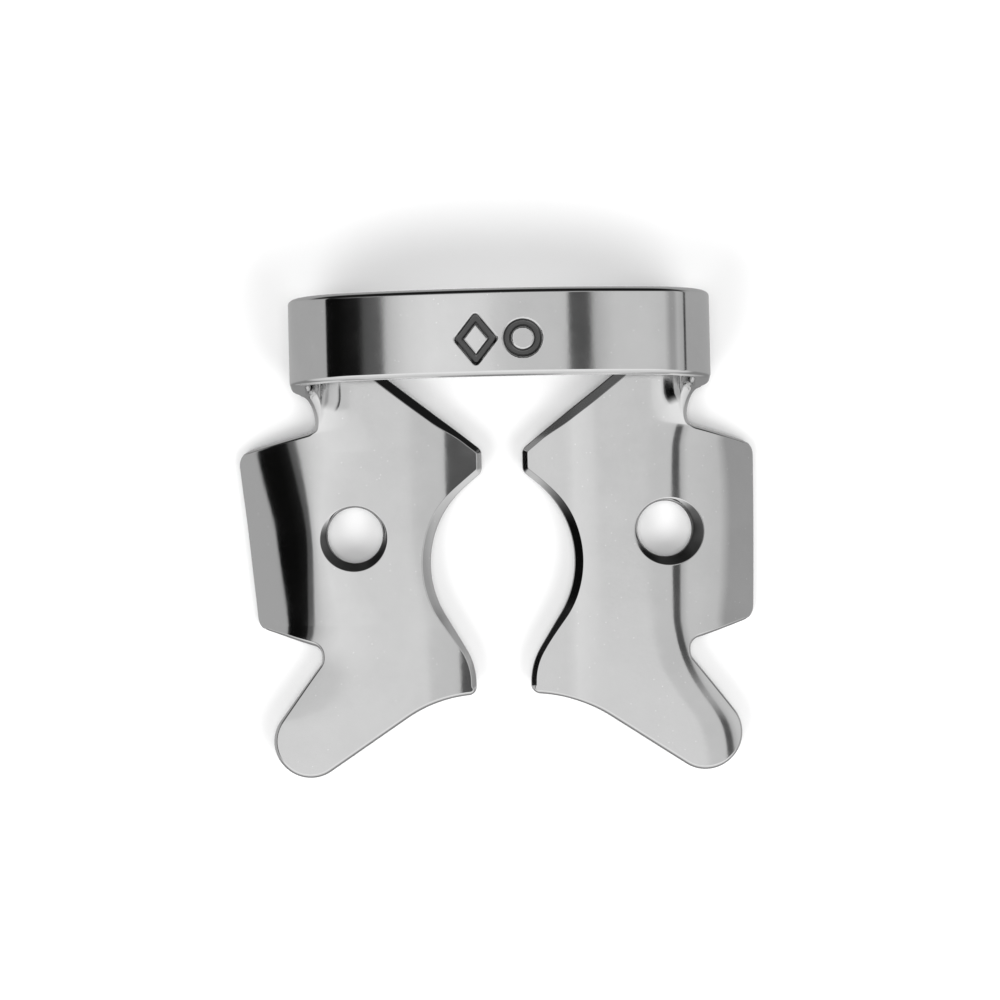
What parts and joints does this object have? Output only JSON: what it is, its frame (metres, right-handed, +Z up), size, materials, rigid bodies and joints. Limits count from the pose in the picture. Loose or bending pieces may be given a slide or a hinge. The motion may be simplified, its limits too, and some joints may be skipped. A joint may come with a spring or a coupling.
{
  "type": "rubber dam clamp",
  "caption": "One-piece spring steel dental clamp: two pronged jaws with folded wings and forceps holes, joined by an arched bow that stands over them.",
  "frame": {"origin": "on the surface that the clamp stands on, under the middle of its bounding box", "axes": "+X towards the clamp's right jaw in the picture, +Y distal, towards the bow, +Z up, from the jaws to the top of the bow"},
  "size_m": [0.0232, 0.0218, 0.012],
  "materials": {
    "polished_steel": "mirror-polished stainless spring steel"
  },
  "bodies": {
    "root": {"clamp": "polished_steel"}
  },
  "joints": []
}
